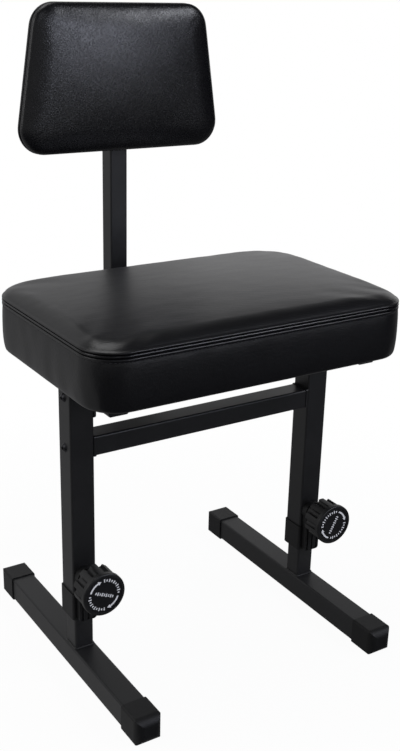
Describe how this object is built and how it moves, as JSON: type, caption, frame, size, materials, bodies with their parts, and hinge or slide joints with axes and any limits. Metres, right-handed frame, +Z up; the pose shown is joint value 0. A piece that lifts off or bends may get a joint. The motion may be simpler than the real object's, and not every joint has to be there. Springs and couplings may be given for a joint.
{
  "type": "adjustable piano bench",
  "caption": "Keyboard bench with a padded seat and backrest on two height-adjustable square-tube legs with clamp knobs",
  "frame": {"origin": "on the floor, midway between the two feet and at the middle of the bench's depth", "axes": "+X along the crossbar to the sitter's left hand, +Y towards the backrest, +Z up; left and right nodes are named as seen from the front"},
  "size_m": [0.443, 0.4383, 0.8188],
  "materials": {
    "frame_steel": "black powder coat, satin",
    "moulded_plastic": "moulded black plastic",
    "zinc_steel": "zinc-plated steel",
    "black_screws": "black oxide",
    "plywood": "raw plywood",
    "foam": "upholstery foam",
    "leatherette": "black leatherette, fine grain",
    "black_fabric": "non-woven dust cloth",
    "brass_bush": "turned brass",
    "disc_plastic": "flat printed disc"
  },
  "bodies": {
    "left_foot": {"left_foot_tube": "frame_steel", "left_foot_cap_front": "moulded_plastic", "left_foot_cap_rear": "moulded_plastic", "left_inner_post": "frame_steel", "left_glide": "moulded_plastic"},
    "seat_frame": {"left_upright": "frame_steel", "right_upright": "frame_steel", "left_collar": "moulded_plastic", "right_collar": "moulded_plastic", "weld_nuts": "zinc_steel", "crossbar": "frame_steel", "crossbar_flanges": "frame_steel", "crossbar_screws": "black_screws", "left_bracket": "frame_steel", "right_bracket": "frame_steel", "bracket_screws": "black_screws", "bracket_nuts": "zinc_steel", "left_seat_rail": "frame_steel", "right_seat_rail": "frame_steel", "rail_plugs": "moulded_plastic", "rail_screws": "black_screws", "seat_board": "plywood", "seat_foam": "foam", "seat_cover": "leatherette", "seat_underlining": "black_fabric", "seat_tee_nuts": "zinc_steel", "backrest_arm": "frame_steel", "arm_plug": "moulded_plastic", "arm_screws": "black_screws", "backrest_post": "frame_steel", "post_plugs": "moulded_plastic", "backrest_board": "plywood", "backrest_foam": "foam", "backrest_cover": "leatherette", "backrest_lining": "black_fabric", "backrest_screws": "black_screws", "backrest_tee_nuts": "zinc_steel"},
    "right_foot": {"right_foot_tube": "frame_steel", "right_foot_cap_front": "moulded_plastic", "right_foot_cap_rear": "moulded_plastic", "right_inner_post": "frame_steel", "right_glide": "moulded_plastic"},
    "left_clamp": {"left_clamp_screw": "zinc_steel"},
    "left_knob_body": {"left_knob": "moulded_plastic", "left_knob_bush": "brass_bush", "left_knob_disc": "disc_plastic"},
    "right_clamp": {"right_clamp_screw": "zinc_steel"},
    "right_knob_body": {"right_knob": "moulded_plastic", "right_knob_bush": "brass_bush", "right_knob_disc": "disc_plastic"}
  },
  "joints": [
    {"name": "frame_slide", "type": "slide", "parent": "left_foot", "child": "seat_frame", "axis": [0, 0, 1], "range_m": [-0.043, 0.087]},
    {"name": "right_foot_slide", "type": "slide", "parent": "seat_frame", "child": "right_foot", "axis": [0, 0, -1], "range_m": [-0.043, 0.087]},
    {"name": "left_clamp_slide", "type": "slide", "parent": "seat_frame", "child": "left_clamp", "axis": [0, -1, 0], "range_m": [0, 0.0046]},
    {"name": "left_knob_turn", "type": "hinge", "parent": "left_clamp", "child": "left_knob_body", "pos_m": [-0.179, -0.0333, 0.1418], "axis": [0, -1, 0], "range_deg": [0, 1080]},
    {"name": "right_clamp_slide", "type": "slide", "parent": "seat_frame", "child": "right_clamp", "axis": [0, -1, 0], "range_m": [0, 0.0046]},
    {"name": "right_knob_turn", "type": "hinge", "parent": "right_clamp", "child": "right_knob_body", "pos_m": [0.179, -0.0333, 0.1418], "axis": [0, -1, 0], "range_deg": [0, 1080]}
  ],
  "couplings": [
    {"joint": "right_foot_slide", "follows": "frame_slide", "ratio": 1},
    {"joint": "left_clamp_slide", "follows": "left_knob_turn", "m_per_rad": 0.00023873},
    {"joint": "right_clamp_slide", "follows": "right_knob_turn", "m_per_rad": 0.00023873}
  ]
}
